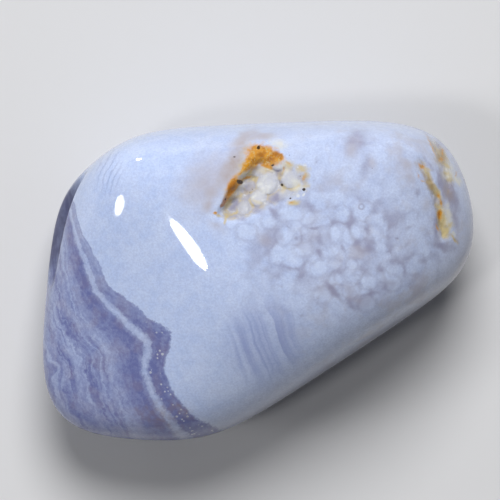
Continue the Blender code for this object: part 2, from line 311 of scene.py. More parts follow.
# Painted glints: small white spots and lines of highlight laid on the crust.
GLINT_STROKES = (
    (-1.04, 6.33, 0.16, 0.07, 0, 0.7), (2.97, 6.24, 0.13, 0.12, 0, 1),
    (3.34, 6.36, 0.09, 0.16, -30, 1), (2.94, 8.35, 0.1, 0.09, 0, 0.9),
    (3.42, 8.5, 0.33, 0.06, 5, 0.9), (0.67, 8.19, 0.3, 0.07, 0, 0.6),
    (10.33, 3.01, 0.06, 0.16, 60, 0.6),
)

# The pale round cells seen in the skin: place in plan and radius.
CELLS = (
    (-0.84, 3.51, 0.62), (0.77, 4.34, 0.52), (1.9, 4.87, 0.6), (2.57, 4.99, 0.6),
    (1.93, 3.34, 0.63), (2.88, 4.02, 0.41), (3.2, 3.68, 0.45), (3.71, 4.67, 0.48),
    (3.35, 2.43, 0.63), (5.28, 3.34, 0.74), (6.92, 3.43, 0.67), (8.45, 3.51, 0.6),
    (4.76, 1.82, 0.41), (5.51, 2.27, 0.41), (6.88, 1.2, 0.48), (5.6, 1.3, 0.48),
    (4.45, 0.86, 0.6), (5.69, 0.11, 0.6), (6.77, -0.71, 0.56), (4.69, -1.03, 0.6),
    (8.17, -0.11, 0.6), (9.23, 0.36, 0.45), (8.0, -1.7, 0.6), (9.9, -0.19, 0.6),
    (-1.93, 4.28, 0.48),
)
STROKES = {
    "brown": BROWN_AND_STEP_SHADE, "ochre": OCHRE, "rust": RUST, "yellow": YELLOW, "cream": CREAM,
    "grey": GREY_AND_HOLLOW_SHADE, "gaps": GAPS, "haze": HAZE, "specks": SPECKS, "frost_and_glints": GLINT_STROKES,
}

# Where the stone's finish changes with the place on it.
BLUE_SIDE = -9.0
GREY_SIDE = 14.0
STRIPES_MIDDLE = (0.5, -4.5)
STRIPES_SIZE = (2.5, 2.7)
STRIPES_BEARING = -70
ARCS_CENTRE = (-5.2, 5.4)
ARCS_MIDDLE = (-11.0, 8.2)
ARCS_SIZE = (0.9, 1.6)
CLUSTER_MIDDLE = (6.3, 2.0)
CLUSTER_SIZE = (6.6, 4.6)
PIT_PLACE = (7.6, 5.46)
PIT_RADIUS = 0.19

# How far from the middle to the rim an oval and a cell fade, the heights over which the
# marks of the upper side appear, and from what strength on a mark needs a finer skin.
OVAL_FADES = (0.4, 1.6)
CELL_FADES = (0.2, 1.5)
UPPER_SIDE = (4.0, 7.0)
CRUST_BEGINS = (0.04, 0.3)
LUMPS_BEGIN = (0.02, 0.3)
LUMP_TOP = 0.7
MARK_SHOWS = 0.2
SOFT_STROKES = ("gaps", "haze", "grey", "cream")


# The shapes of the skin


def facing(bearing, tilt):
    """The unit vector that points along a compass bearing, tilted above the horizon."""
    b, t = math.radians(bearing), math.radians(tilt)
    return np.array((math.cos(b) * math.cos(t), math.sin(b) * math.cos(t), math.sin(t)))


FACET_WAYS = np.array([facing(bearing, tilt) for bearing, tilt, _ in FACETS.values()])
FACET_REACH = np.array([distance for _, _, distance in FACETS.values()])


def step_up(x, low, high):
    """Rises smoothly from 0 at low to 1 at high."""
    t = np.clip((x - low) / (high - low), 0.0, 1.0)
    return t * t * (3 - 2 * t)


def waves(points, size, seed):
    """Smooth random waves over points, about -1 to 1 and one size from crest to crest."""
    moved = points / size + seed * SEED_STEP
    return np.array([noise.noise(point) for point in moved])


def ragged_plan(points, kind):
    """The points in plan, moved about by random waves."""
    size, amount, seed = RAGGED[kind]
    plan = points[:, :2].copy()
    plan[:, 0] += amount * waves(points, size, seed)
    plan[:, 1] += amount * waves(points, size, seed + 1)
    return plan


def outside(points, wear):
    """How far points lie outside the worn facets: below zero in the stone."""
    past = points @ FACET_WAYS.T - FACET_REACH
    most = past.max(axis=1)
    return most + wear * np.log(np.exp((past - most[:, None]) / wear).sum(axis=1))


def on_skin(points, wear):
    """The points moved along their lines from the middle until they lie on the skin."""
    ways = points / np.linalg.norm(points, axis=1)[:, None]
    near, far = np.zeros(len(points)), np.full(len(points), 2 * BALL_SHAPE[0])
    for _ in range(SKIN_STEPS):
        half = (near + far) / 2
        inside = outside(ways * half[:, None], wear) < 0
        near, far = np.where(inside, half, near), np.where(inside, far, half)
    return ways * near[:, None]


def chip_depth(plan, chip):
    """How deep a chip goes at points in plan, as a share of the pocket's depth."""
    start, end, depth, wall, reach_start, reach_end = chip
    start, end = np.array(start), np.array(end)
    length = np.linalg.norm(end - start)
    along = (end - start) / length
    into = np.array((along[1], -along[0]))
    share = (plan - start) @ along / length
    away = (plan - start) @ into
    reach = reach_start + (reach_end - reach_start) * np.clip(share, 0, 1)
    ends = step_up(share, *CHIP_RISES) * (1 - step_up(share, *CHIP_FALLS))
    floor = step_up(away, 0, wall) * (1 - step_up(away / reach, *FLOOR_CLIMBS))
    return depth * ends * floor


def lump_height(plan):
    """How high the lumps stand above the pocket's floor at points in plan."""
    height = np.zeros(len(plan))
    for x, y, radius in LUMPS:
        away = np.linalg.norm(plan - (x, y), axis=1) / radius
        height = np.maximum(height, np.sqrt(np.clip(1 - away * away, 0, None)) * radius)
    return height * LUMP_RISE


def hollow_depth(points, pocket_depth):
    """How far the chips sink the upper side, with the lumps and the grain and without."""
    plan = ragged_plan(points, "chips")
    upper = step_up(points[:, 2], *CHIPPED_SIDE)
    chips = {name: pocket_depth * chip_depth(plan, chip) for name, chip in CHIPS.items()}
    pocket = chips.pop("pocket")
    filled = lump_height(points[:, :2]) * step_up(pocket, *LUMPS_RISE)
    rest = np.maximum.reduce(list(chips.values()))
    depth = np.maximum(np.maximum(pocket - filled, 0), rest) * upper
    grain = CRUST_GRAIN * waves(points, CRUST_GRAIN_SIZE, CRUST_GRAIN_SEED)
    grain *= step_up(depth, *GRAIN_BEGINS)
    return np.maximum(depth + grain, 0), np.maximum(pocket, rest) * upper


def on_left_side(points):
    """How far points lie along the undercut and below its edge, and if on that side."""
    along = points @ facing(UNDERCUT_BEARING - 90, 0) - UNDERCUT_MIDDLE
    edge = UNDERCUT_EDGE + UNDERCUT_CLIMB * along
    below = edge - MIDDLE_HEIGHT - points[:, 2]
    return along, below, points @ facing(UNDERCUT_BEARING, 0) > 0


def undercut(points, undercut_depth):
    """How far the left side is cut in below its upper edge."""
    along, below, on_side = on_left_side(points)
    stretch = np.clip(1 - (along / UNDERCUT_HALF_LENGTH) ** 2, 0, 1)
    wall = step_up(below, 0, UNDERCUT_WALL)
    drop = UNDERCUT_DROP * np.maximum(stretch, LEAST_DROP)
    lobe = 1 - step_up(below, UNDERCUT_WALL, UNDERCUT_WALL + drop)
    return undercut_depth * wall * lobe * stretch * on_side


def carved(points, sizes):
    """The skin's points with the chips and the undercut taken out."""
    cut = undercut(points, sizes.undercut_depth / MM)
    points = points - cut[:, None] * facing(UNDERCUT_BEARING, 0)
    sunk, _ = hollow_depth(points, sizes.pocket_depth / MM)
    points[:, 2] -= sunk
    return points


def coordinates(mesh):
    return np.array([vert.co for vert in mesh.verts])


def place(mesh, points):
    for vert, point in zip(mesh.verts, points):
        vert.co = point


def refine(mesh, wanted, wear):
    """Splits the faces that have a wanted corner, and puts the new corners on the skin."""
    faces = [f for f in mesh.faces if any(wanted[v.index] for v in f.verts)]
    edges = list({edge for face in faces for edge in face.edges})
    bmesh.ops.subdivide_edges(mesh, edges=edges, cuts=1, use_grid_fill=True)
    bmesh.ops.triangulate(mesh, faces=[face for face in mesh.faces if len(face.verts) > 3])
    place(mesh, on_skin(coordinates(mesh), wear))
    mesh.verts.index_update()


def is_marked(points):
    """True where the skin has fine marks, in the chips or on the ledge of the undercut."""
    plan = ragged_plan(points, "chips")
    in_chip = np.max([chip_depth(plan, chip) for chip in CHIPS.values()], axis=0) > 0
    near_ledge = undercut(points, 1.0) > LEDGE_SHOWS
    marks = np.max([stroke_mask(points[:, :2], s) for s in (OCHRE, YELLOW, GAPS)], axis=0)
    return (in_chip | (marks > MARK_SHOWS)) & (points[:, 2] > 0) | near_ledge


def is_in_chip(points):
    depth, _ = hollow_depth(points, 1.0)
    return depth > CHIP_SHOWS


def cut_base(mesh):
    """Cuts the stone off flat where it rests, and closes the cut."""
    cut = bmesh.ops.bisect_plane(
        mesh,
        geom=mesh.verts[:] + mesh.edges[:] + mesh.faces[:],
        dist=0.001,
        plane_co=(0, 0, -MIDDLE_HEIGHT),
        plane_no=(0, 0, -1),
        clear_outer=True,
    )
    rim = [item for item in cut["geom_cut"] if isinstance(item, bmesh.types.BMEdge)]
    bmesh.ops.contextual_create(mesh, geom=rim)
    bmesh.ops.dissolve_degenerate(mesh, dist=0.005, edges=mesh.edges[:])
    bmesh.ops.triangulate(mesh, faces=[face for face in mesh.faces if len(face.verts) > 3])


def fitted(points):
    """The points moved and scaled into the box of the stone's solid."""
    low, high = points.min(axis=0), points.max(axis=0)
    return STONE_LOW + (points - low) * (STONE_HIGH - STONE_LOW) / (high - low)


def stone_mesh(sizes):
    """The whole stone in metres, with the skin and everything cut into it."""
    wear = sizes.wear / MM
    mesh = bmesh.new()
    bmesh.ops.create_icosphere(mesh, subdivisions=BALL_DIVISIONS, radius=1.0)
    place(mesh, on_skin(coordinates(mesh) * BALL_SHAPE, wear))
    refine(mesh, is_marked(coordinates(mesh)), wear)
    refine(mesh, is_in_chip(coordinates(mesh)), wear)
    place(mesh, carved(coordinates(mesh), sizes))
    cut_base(mesh)
    place(mesh, fitted(coordinates(mesh)) * MM)
    bmesh.ops.recalc_face_normals(mesh, faces=mesh.faces)
    data = bpy.data.meshes.new("stone_skin")
    mesh.to_mesh(data)
    mesh.free()
    data.shade_smooth()
    return data


# The masks on the skin


def stroke_mask(plan, strokes):
    """How strongly a list of strokes marks points in plan: half as strong at their edge."""
    mask = np.zeros(len(plan))
    for x, y, half_length, half_width, bearing, strength in strokes:
        along = facing(bearing, 0)[:2]
        across = np.array((-along[1], along[0]))
        offset = plan - (x, y)
        far = (offset @ along / half_length) ** 2 + (offset @ across / half_width) ** 2
        mask = np.maximum(mask, strength * 0.5**far)
    return mask


def oval_mask(plan, middle, size):
    """1 in the middle of an oval, falling smoothly to 0 a little outside it."""
    far = np.linalg.norm((plan - middle) / size, axis=1)
    return 1 - step_up(far, *OVAL_FADES)


def line_distance(plan, line):
    """How far points lie to the left of a line that runs from the far to the near side."""
    corners = np.array(line)
    nearest = np.full(len(plan), np.inf)
    for start, end in zip(corners[:-1], corners[1:]):
        way = end - start
        share = np.clip((plan - start) @ way / (way @ way), 0, 1)
        nearest = np.minimum(nearest, np.linalg.norm(plan - start - share[:, None] * way, axis=1))
    line_x = np.interp(-plan[:, 1], -corners[:, 1], corners[:, 0])
    return np.where(plan[:, 0] < line_x, nearest, -nearest)


def band_place(points):
    """0 at the line where the violet bands start, 1 where they end, and on beyond it."""
    plan = ragged_plan(points, "bands")
    plan[:, 0] -= BAND_LEAN * np.clip(WIDEST_LEVEL - points[:, 2], 0, None)
    in_from_start = line_distance(plan, BAND_START)
    out_to_end = -line_distance(plan, BAND_END)
    return in_from_start / np.maximum(in_from_start + out_to_end, NARROWEST_FAN)


def cell_mask(points):
    """Above 0.5 in the pale round cells, towards 0 in the gaps between them."""
    plan = ragged_plan(points, "cells")
    mask = np.zeros(len(plan))
    for x, y, radius in CELLS:
        away = np.linalg.norm(plan - (x, y), axis=1) / radius
        mask = np.maximum(mask, 1 - step_up(away, *CELL_FADES))
    return mask


def ledge_shade_mask(points):
    """Marks the side below the ledge of the undercut, where shade is painted and the polish dulled.
    """
    along, below, on_side = on_left_side(points)
    far_along = np.abs(along / SHADE_HALF_LENGTH) ** SHADE_SQUARENESS
    far_down = np.abs((below - SHADE_MIDDLE) / SHADE_REACH) ** SHADE_SQUARENESS
    far = (far_along + far_down) ** (1 / SHADE_SQUARENESS)
    far += SHADE_RAGGED * waves(points, SHADE_RAGGED_SIZE, SHADE_SEED)
    return step_up(below, *SHADE_BEGINS) * (1 - step_up(far, *SHADE_FADES)) * on_side


def lay_masks(data, sizes):
    """Stores every mask on the skin's corners, for the material to read."""
    points = np.array([vert.co for vert in data.vertices]) / MM
    plan = points[:, :2]
    upper = step_up(points[:, 2], *UPPER_SIDE)
    crisp, soft = ragged_plan(points, "crisp strokes"), ragged_plan(points, "soft strokes")
    _, hollow = hollow_depth(points - (0, 0, MIDDLE_HEIGHT), sizes.pocket_depth / MM)
    masks = {
        "bands": band_place(points),
        "crust": step_up(hollow, *CRUST_BEGINS),
        "lumps": lump_height(crisp) / LUMP_RISE / LUMP_TOP * step_up(hollow, *LUMPS_BEGIN),
        "ledge": ledge_shade_mask(points - (0, 0, MIDDLE_HEIGHT)),
        "cells": cell_mask(points) * upper,
        "cluster": oval_mask(plan, CLUSTER_MIDDLE, CLUSTER_SIZE) * upper,
        "stripes": oval_mask(plan, STRIPES_MIDDLE, STRIPES_SIZE) * upper,
        "arcs": oval_mask(plan, ARCS_MIDDLE, ARCS_SIZE) * upper,
    }
    for name, strokes in STROKES.items():
        masks[name] = stroke_mask(soft if name in SOFT_STROKES else crisp, strokes) * upper
    for name, values in masks.items():
        layer = data.attributes.new(name, "FLOAT", "POINT")
        layer.data.foreach_set("value", values.astype(np.float32))


# The materials


# The random patterns: scale of the noise (waves to a millimetre), its detail and roughness,
# the two levels between which it rises, and its strength below and above them.
PATTERNS = {
    "flecks": (1.3, 5.0, 0.62, 0.33, 0.67, 0.0, 0.42),
    "mist": (0.33, 4.0, 0.6, 0.35, 0.7, 0.0, 0.4),
    "grain": (6.5, 2.0, 0.7, 0.3, 0.7, 0.0, 0.22),
    "veil": (0.45, 3.0, 0.6, 0.48, 0.68, 0.0, 0.4),
    "patches": (0.5, 2.0, 0.5, 0.38, 0.6, 0.25, 1),
    "streaks": (1.0, 3.0, 0.6, 0.34, 0.66, -0.18, 0.2),
    "tinge": (0.7, 2.0, 0.5, 0.42, 0.68, 0.0, 1),
    # worn only varies how strong the painted shade below the ledge is
    "worn": (0.9, 4.0, 0.65, 0.3, 0.7, 0.75, 0.95),
    "lining": (1.9, 4.0, 0.6, 0.48, 0.75, 0.0, 1),
    "seams": (1.5, 3.0, 0.5, 0.42, 0.6, 0.0, 1),
    "grubby": (3.2, 4.0, 0.6, 0.46, 0.64, 0.0, 0.62),
    "glints": (5.5, 3.0, 0.6, 0.5, 0.62, 0.0, 0.6),
    "polish": (0.8, 3.0, 0.5, 0.3, 0.7, 0.04, 0.07),
    "rough crust": (4.0, 3.0, 0.5, 0.3, 0.7, 0.28, 0.5),
    "board": (0.9, 3.0, 0.5, 0.3, 0.7, 0.0, 0.05),
}

# The stains: colour, the levels of the mask at which it begins and is full, opacity, and
# the scale and strength of the waves that break up its edge.
STAINS = {
    "gaps": ("gap", 0.0, 1.0, 0.85, 1.6, 0.7),
    "haze": ("haze", 0.0, 0.9, 0.9, 1.2, 0.3),
    "grey": ("gap", 0.15, 0.8, 0.85, 2.6, 0.5),
    "cream": ("cream", 0.08, 0.85, 0.85, 3.0, 0.5),
    "yellow": ("yellow", 0.12, 0.85, 0.85, 3.2, 0.7),
    "brown": ("brown", 0.1, 0.9, 0.7, 2.4, 0.6),
    "ochre": ("ochre", 0.15, 0.65, 0.95, 3.0, 0.6),
    "rust": ("rust", 0.2, 0.8, 0.8, 3.0, 0.6),
    # The frost stain paints the glints in the crust as white colour.
    "frost_and_glints": ("frost_and_glints", 0.35, 0.7, 0.9, 4.0, 0.2),
    "specks": ("speck", 0.35, 0.6, 0.95, 4.0, 0.2),
}

# How violet the bands are, from the line where they start (0.1) to far beyond their end.
BAND_LEVELS = (
    (0.0, 0.0), (0.088, 0.0), (0.1, 0.68), (0.11, 0.78), (0.125, 0.7), (0.15, 0.82),
    (0.183, 0.8), (0.197, 0.42), (0.212, 0.26), (0.228, 0.32), (0.244, 0.78), (0.265, 0.96),
    (0.3, 0.94), (0.34, 0.84), (0.375, 0.7), (0.405, 0.6), (0.43, 0.53), (0.47, 0.66),
    (0.52, 0.72), (0.56, 0.8), (0.585, 0.76), (0.6, 0.54), (0.618, 0.52), (0.65, 0.68),
    (0.7, 0.76), (0.76, 0.6), (0.86, 0.74), (1.0, 0.7),
)
BANDS_START = 0.1
BANDS_SHARE = 0.5
BAND_FRAY = 0.09
BAND_LACE = 0.17
STREAKS_ACROSS = 20.0
STREAKS_ALONG = (0.1, 0.22, 0.1)
WHITE_SPECK_SCALE = 3.7
WHITE_SPECK_SIZE = 0.42
WHITE_SPECK_CHANCE = 0.62
WHITE_SPECK_OPACITY = 0.6

# Waves in the pale body, the arcs, the stripes and the cells.
SIDE_SHIFT = 14.0
ARCS_BEND = 0.45
ARCS_CLOSENESS = 17.0
STRIPES_BEND = 1.6
STRIPES_SCALE = 1.4
CELL_SCALE = 0.74
CELL_RIMS = 0.17
CRUST_OPACITY = 0.7

# The polish, and what is the same all over the stone.
LEDGE_ROUGHNESS = 0.6
BUMP_STRENGTH = 0.5
BUMP_HEIGHT = 0.12 * MM
STONE_SURFACE = {
    "IOR": 1.54,
    "Subsurface Weight": 0.12,
    "Subsurface Radius": (1.0, 1.1, 1.5),
    "Subsurface Scale": 0.3 * MM,
}
FLOOR_ROUGHNESS = 0.85


class Finish:
    """A node material in layers. Values are outputs, numbers or the names of colours."""

    def __init__(self, name, colours):
        self.material = bpy.data.materials.new(name)
        self.material.use_nodes = True
        self.tree = self.material.node_tree
        self.surface = self.tree.nodes["Principled BSDF"].inputs
        self.colours = colours
        metres = self.add("TexCoord", {}, "Object")
        self.place = self.add("VectorMath", {0: metres, "Scale": 1 / MM}, operation="SCALE")

    def add(self, kind, inputs, output=0, **settings):
        """Adds a node, sets or links its inputs by name or number, and returns an output."""
        node = self.tree.nodes.new("ShaderNode" + kind)
        for name, value in settings.items():
            setattr(node, name, value)
        for name, value in inputs.items():
            self.connect(node.inputs[name], value)
        return node.outputs[output]

    def connect(self, socket, value):
        if isinstance(value, bpy.types.NodeSocket):
            self.tree.links.new(value, socket)
        else:
            socket.default_value = self.colours[value] if isinstance(value, str) else value

    def mask(self, name):
        return self.add("Attribute", {}, "Fac", attribute_name=name)

    def axis(self, name):
        return self.add("SeparateXYZ", {0: self.place}, name)

    def math(self, operation, first, second=0.0, third=0.0):
        return self.add("Math", {0: first, 1: second, 2: third}, operation=operation)

    def times(self, value, *others):
        """The product of two or more values."""
        for other in others:
            value = self.math("MULTIPLY", value, other)
        return value

    def ramp(self, value, low, high, start=0.0, end=1.0):
        """Brings a value from low..high to start..end, smoothly."""
        inputs = {"Value": value, "From Min": low, "From Max": high, "To Min": start}
        return self.add("MapRange", {**inputs, "To Max": end}, interpolation_type="SMOOTHSTEP")

    def blend(self, share, first, second):
        """A value between two others."""
        return self.add("Mix", {"Factor": share, 2: first, 3: second}, data_type="FLOAT")

    def mix(self, share, under, over):
        """A colour laid over another."""
        return self.add("Mix", {"Factor": share, 6: under, 7: over}, 2, data_type="RGBA")

    def waves(self, scale, detail=2.0, roughness=0.5, distortion=0.0, place=None):
        form = {"Scale": scale, "Detail": detail, "Roughness": roughness, "Distortion": distortion}
        return self.add("TexNoise", {"Vector": place or self.place, **form})

    def swing(self, *settings):
        """Waves about zero, where plain waves lie about a half."""
        return self.math("SUBTRACT", self.waves(*settings), 0.5)

    def pattern(self, name, place=None):
        """One of the random patterns."""
        scale, detail, roughness, low, high, weak, strong = PATTERNS[name]
        return self.ramp(self.waves(scale, detail, roughness, 0.0, place), low, high, weak, strong)

    def away(self, point):
        """How far the place lies from a point in plan."""
        flat = self.add("VectorMath", {0: self.place, 1: (1, 1, 0)}, operation="MULTIPLY")
        return self.add("VectorMath", {0: flat, 1: (*point, 0.0)}, "Value", operation="DISTANCE")

    def levels(self, value, stops):
        """A value that runs through a list of (place, value) stops."""
        node = self.tree.nodes.new("ShaderNodeValToRGB")
        ramp = node.color_ramp
        ramp.interpolation = "EASE"
        while len(ramp.elements) < len(stops):
            ramp.elements.new(0.5)
        for element, (position, level) in zip(ramp.elements, stops):
            element.position = position
            element.color = (level, level, level, 1)
        self.connect(node.inputs["Fac"], value)
        return node.outputs["Color"]


def pale_body(finish):
    """The pale body: bluer to the left, clouded and finely grained."""
    side = finish.math("MULTIPLY_ADD", finish.swing(0.16, 3.0), SIDE_SHIFT, finish.axis("X"))
    colour = finish.mix(finish.ramp(side, BLUE_SIDE, GREY_SIDE), "blue", "grey")
    colour = finish.mix(finish.pattern("flecks"), colour, "pale")
    colour = finish.mix(finish.pattern("mist"), colour, "pale")
    return finish.mix(finish.pattern("grain"), colour, "violet")


def painted_flank_shade(finish, colour):
    """Paints shade on the near and right flanks: darker lower down and towards the near right."""
    across, up, height = (finish.axis(name) for name in "XYZ")
    aside = finish.math("SUBTRACT", finish.times(across, 0.5), up)
    low = finish.times(finish.ramp(height, 13.0, 6.0, 0.0, 0.55), finish.ramp(aside, -2, 7))
    return finish.mix(low, colour, "flank_shade")


def lined(finish, colour):
    """Lays faint arcs at the far left corner, and steep blue stripes near the front."""
    rings = finish.math("MULTIPLY_ADD", finish.waves(0.9), ARCS_BEND, finish.away(ARCS_CENTRE))
    rings = finish.math("SINE", finish.times(rings, ARCS_CLOSENESS))
    arcs = finish.times(finish.ramp(rings, 0.1, 1.0, 0.0, 0.27), finish.mask("arcs"))
    colour = finish.mix(arcs, colour, "violet")
    way = {0: finish.place, 1: tuple(facing(STRIPES_BEARING + 90, 0))}
    over = finish.add("VectorMath", way, "Value", operation="DOT_PRODUCT")
    over = finish.math("ADD", over, finish.times(finish.swing(0.3), STRIPES_BEND))
    line = {"W": over, "Scale": STRIPES_SCALE, "Detail": 3.0}
    stripes = finish.add("TexNoise", line, noise_dimensions="1D")
    stripes = finish.times(finish.ramp(stripes, 0.38, 0.62, 0.2, 0.75), finish.mask("stripes"))
    return finish.mix(stripes, colour, "stripe")


def celled(finish, colour):
    """Lays the pale round cells over a colour, the grey gaps between them and a small pit."""
    cluster = finish.mask("cluster")
    wobble = finish.add("TexNoise", {"Vector": finish.place, "Scale": 0.9, "Detail": 3.0}, "Color")
    wobbled = finish.add("VectorMath", {0: wobble, 1: finish.place}, operation="ADD")
    apart = finish.add("TexVoronoi", {"Vector": wobbled, "Scale": CELL_SCALE})
    joints = finish.times(finish.ramp(apart, 0.4, 0.72, 0.0, 0.8), finish.pattern("patches"), cluster)
    colour = finish.mix(joints, colour, "gap")
    hearts = finish.times(finish.ramp(apart, 0.4, 0.05, 0.0, 0.18), cluster)
    colour = finish.mix(hearts, colour, "pale")
    veil = finish.times(finish.pattern("veil"), finish.ramp(finish.axis("X"), 0.0, 8.0))
    colour = finish.mix(veil, colour, "haze")
    ring = finish.math("ABSOLUTE", finish.math("SUBTRACT", finish.away(PIT_PLACE), PIT_RADIUS))
    ring = finish.times(finish.ramp(ring, 0.13, 0.0, 0.0, 0.7), cluster)
    colour = finish.mix(ring, colour, "gap")
    cells = finish.mask("cells")
    rims = finish.times(finish.ramp(cells, 0.0, 0.15), finish.ramp(cells, 0.55, 0.33), CELL_RIMS)
    colour = finish.mix(rims, colour, "gap")
    colour = finish.mix(finish.ramp(cells, 0.25, 0.9, 0.0, 0.2), colour, "pale")
    return stained(finish, colour, "gaps")


def band_grain(finish, bands, bent):
    """Streaks along the bands, mottling, and how the outer band deepens to the front."""
    fan = finish.add("CombineXYZ", {"X": finish.times(bent, STREAKS_ACROSS)})
    drawn = finish.add("VectorMath", {0: finish.place, 1: STREAKS_ALONG}, operation="MULTIPLY")
    fan = finish.add("VectorMath", {0: fan, 1: drawn}, operation="ADD")
    streaks = finish.times(finish.pattern("streaks", fan), finish.ramp(bands, 0.45, 0.7, 0.25, 1.0))
    mottle = finish.ramp(finish.waves(2.4, 5.0, 0.75, 0.2), 0.3, 0.7, -0.13, 0.13)
    deeper = finish.ramp(finish.axis("Y"), 2.0, -5.0, -0.2, 0.16)
    deeper = finish.times(deeper, finish.ramp(bands, 0.24, 0.16))
    grain = finish.math("ADD", finish.math("ADD", streaks, mottle), deeper)
    return finish.times(grain, finish.ramp(bands, -0.02, 0.02))


def white_specks(finish, bands):
    """Tiny white specks of chance sizes, in the outer band near the front."""
    scatter = {"Vector": finish.place, "Scale": WHITE_SPECK_SCALE}
    chance = finish.add("TexVoronoi", scatter, "Color")
    size = finish.times(chance, WHITE_SPECK_SIZE)
    here = finish.math("LESS_THAN", finish.add("TexVoronoi", scatter), size)
    chosen = finish.math("GREATER_THAN", chance, WHITE_SPECK_CHANCE)
    in_band = finish.times(finish.ramp(bands, 0.0, 0.04), finish.ramp(bands, 0.2, 0.16))
    in_front = finish.ramp(finish.axis("Y"), -2.4, -4.4)
    return finish.times(here, chosen, in_band, in_front, WHITE_SPECK_OPACITY)


def banded(finish, colour):
    """Lays the violet bands over a colour, with their waves, tinge and white specks."""
    bands = finish.math("MULTIPLY_ADD", finish.swing(3.4, 4.0, 0.65), BAND_FRAY, finish.mask("bands"))
    bent = finish.math("MULTIPLY_ADD", finish.swing(0.95, 3.0), BAND_LACE, bands)
    wavy = finish.blend(finish.ramp(bands, 0.5, 0.75), bands, bent)
    position = finish.math("MULTIPLY_ADD", wavy, BANDS_SHARE, BANDS_START)
    parts = {0: finish.levels(position, BAND_LEVELS), 1: band_grain(finish, bands, bent)}
    strength = finish.add("Math", parts, operation="ADD", use_clamp=True)
    colour = finish.mix(strength, colour, finish.mix(finish.pattern("tinge"), "violet", "mauve"))
    return finish.mix(white_specks(finish, bands), colour, "frost_and_glints")


def stained(finish, colour, *stains):
    """Lays stains over a colour where their masks are strong, with ragged edges."""
    for stain in stains:
        name, low, high, opacity, scale, break_up = STAINS[stain]
        value = finish.math("MULTIPLY_ADD", finish.swing(scale, 3.0), break_up, finish.mask(stain))
        colour = finish.mix(finish.ramp(value, low, high, 0.0, opacity), colour, name)
    return colour


def crusted(finish, colour, crust):
    """Lays the crust in the chips over a colour, with its lumps, its stains and painted glints."""
    lining = finish.mix(finish.pattern("lining"), "crust", "cream")
    colour = finish.mix(finish.times(crust, CRUST_OPACITY), colour, lining)
    # Grey patches, and painted shade in the right end's hollows, then cream and yellow.
    colour = stained(finish, colour, "grey", "cream", "yellow")
    lumps = finish.mask("lumps")
    between = finish.times(finish.ramp(lumps, 0.5, 0.0, 0.0, 0.75), crust, finish.pattern("seams"))
    between = finish.times(between, finish.ramp(finish.mask("grey"), 0.65, 0.2))
    colour = finish.mix(between, colour, "yellow")
    colour = finish.mix(finish.ramp(lumps, 0.1, 0.9, 0.0, 0.42), colour, "frost_and_glints")
    # Brown stains with painted shade on the right end's steps, then ochre.
    colour = stained(finish, colour, "brown", "ochre")
    in_ochre = finish.ramp(finish.mask("ochre"), 0.3, 0.7)
    colour = finish.mix(finish.times(finish.pattern("grubby"), in_ochre), colour, "rust")
    colour = finish.mix(finish.times(finish.pattern("glints"), in_ochre), colour, "yellow")
    # The rust stain, the painted glints and the dark specks.
    return stained(finish, colour, "rust", "frost_and_glints", "specks")


def chalcedony(colours):
    """Polished chalcedony with its bands, cells, stains and crust, and painted shade and glints."""
    finish = Finish("polished_chalcedony", colours)
    crust = finish.mask("crust")
    # The ledge mask paints shade: the skin below the undercut's edge gets the shade colour, and its
    # polish is dulled.
    ledge = finish.times(finish.mask("ledge"), finish.pattern("worn"))
    colour = lined(finish, painted_flank_shade(finish, pale_body(finish)))
    colour = banded(finish, celled(finish, colour))
    colour = stained(finish, colour, "haze")
    colour = crusted(finish, finish.mix(ledge, colour, "shade"), crust)
    finish.connect(finish.surface["Base Color"], colour)

    # Polished all over, but dull below the ledge, and rough and bumpy where it is crusted.
    gloss = finish.blend(crust, finish.pattern("polish"), finish.pattern("rough crust"))
    finish.connect(finish.surface["Roughness"], finish.blend(ledge, gloss, LEDGE_ROUGHNESS))
    bumps = finish.times(finish.waves(3.4, 4.0, 0.6), crust)
    relief = {"Strength": BUMP_STRENGTH, "Distance": BUMP_HEIGHT, "Height": bumps}
    finish.connect(finish.surface["Normal"], finish.add("Bump", relief))
    for name, value in STONE_SURFACE.items():
        finish.surface[name].default_value = value
    return finish.material


def floor_finish(colours):
    """Smooth pale board with a barely visible grain."""
    finish = Finish("pale_floor", colours)
    colour = finish.mix(finish.pattern("board"), "floor", "floor_grain")
    finish.connect(finish.surface["Base Color"], colour)
    finish.surface["Roughness"].default_value = FLOOR_ROUGHNESS
    return finish.material


# What a user would change


def tint(name, description, colour):
    return FloatVectorProperty(
        name=name, description=description, default=colour, subtype="COLOR", size=4, min=0, max=1
    )


def distance(name, description, metres):
    return FloatProperty(name=name, description=description, default=metres, min=0, unit="LENGTH")


class StoneSizes(bpy.types.PropertyGroup):
    wear: distance("Wear", "How round the tumbling left the edges", 1.0 * MM)
    pocket_depth: distance("Pocket depth", "How deep the crusted pocket goes", 1.2 * MM)
    undercut_depth: distance("Undercut depth", "How far the left side is cut in", 1.0 * MM)


